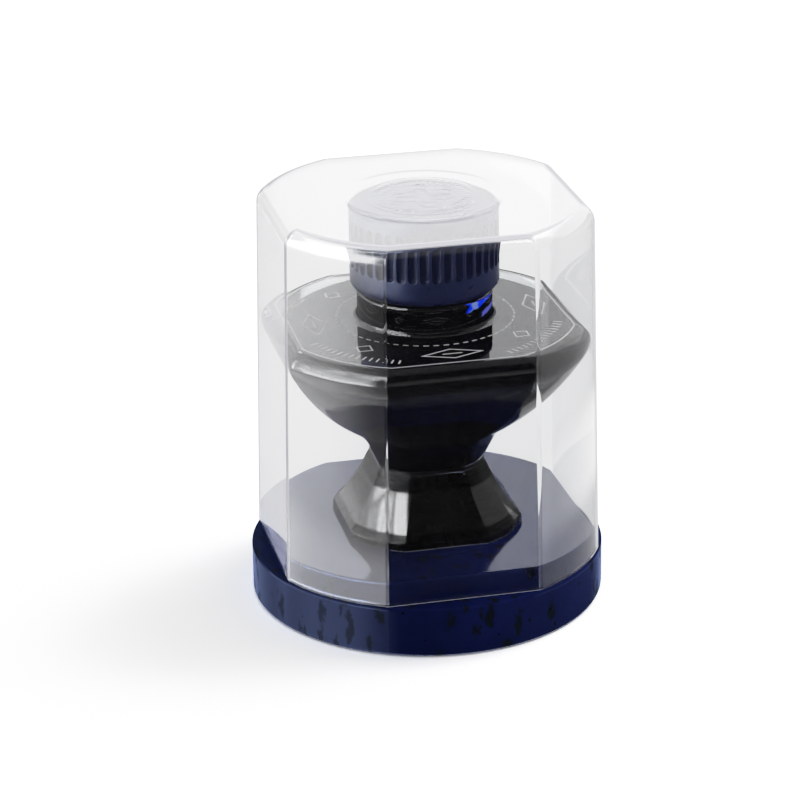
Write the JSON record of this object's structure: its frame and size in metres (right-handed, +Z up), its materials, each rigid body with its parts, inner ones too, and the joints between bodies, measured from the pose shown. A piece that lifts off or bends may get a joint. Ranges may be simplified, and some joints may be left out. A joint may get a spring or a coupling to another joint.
{
  "type": "ink bottle",
  "caption": "Pedestal-footed glass ink bottle with a fluted screw cap, standing on a round base under a clear lift-off cover.",
  "frame": {"origin": "centre of the pad's underside, on the table", "axes": "+Z up along the bottle's axis; the four flats of plinth, cover, bowl and foot face -Y, +X, +Y and -X"},
  "size_m": [0.0784, 0.0784, 0.0917],
  "materials": {
    "base_plastic": "polished navy plastic with dark olive and black flecks",
    "pad_rubber": "fine foam rubber",
    "cover_clear": "clear moulded plastic, polished",
    "bottle_glass": "clear pressed glass, fire polished",
    "ink_blue": "very dark blue liquid ink",
    "cap_plastic": "navy moulded plastic, semi-gloss",
    "liner_foam": "white foamed sealing disc"
  },
  "bodies": {
    "base": {"base": "base_plastic", "base_pad": "pad_rubber"},
    "cover": {"cover": "cover_clear"},
    "bottle": {"glass_bottle": "bottle_glass", "ink": "ink_blue"},
    "liner": {"cap_liner": "liner_foam"},
    "cap": {"cap_shell": "cap_plastic"}
  },
  "joints": [
    {"name": "cover_lift", "type": "slide", "parent": "base", "child": "cover", "axis": [0, 0, 1], "range_m": [0, 0.2]},
    {"name": "bottle_lift", "type": "slide", "parent": "base", "child": "bottle", "axis": [0, 0, 1], "range_m": [0, 0.04]},
    {"name": "cap_lift", "type": "slide", "parent": "bottle", "child": "liner", "axis": [0, 0, 1], "range_m": [0, 0.025]},
    {"name": "cap_turn", "type": "hinge", "parent": "liner", "child": "cap", "pos_m": [0, 0, 0.0803], "axis": [0, 0, 1], "range_deg": [0, 540]}
  ],
  "couplings": [
    {"joint": "bottle_lift", "follows": "cover_lift", "ratio": 0.2},
    {"joint": "cap_lift", "follows": "cover_lift", "ratio": 0.125}
  ]
}
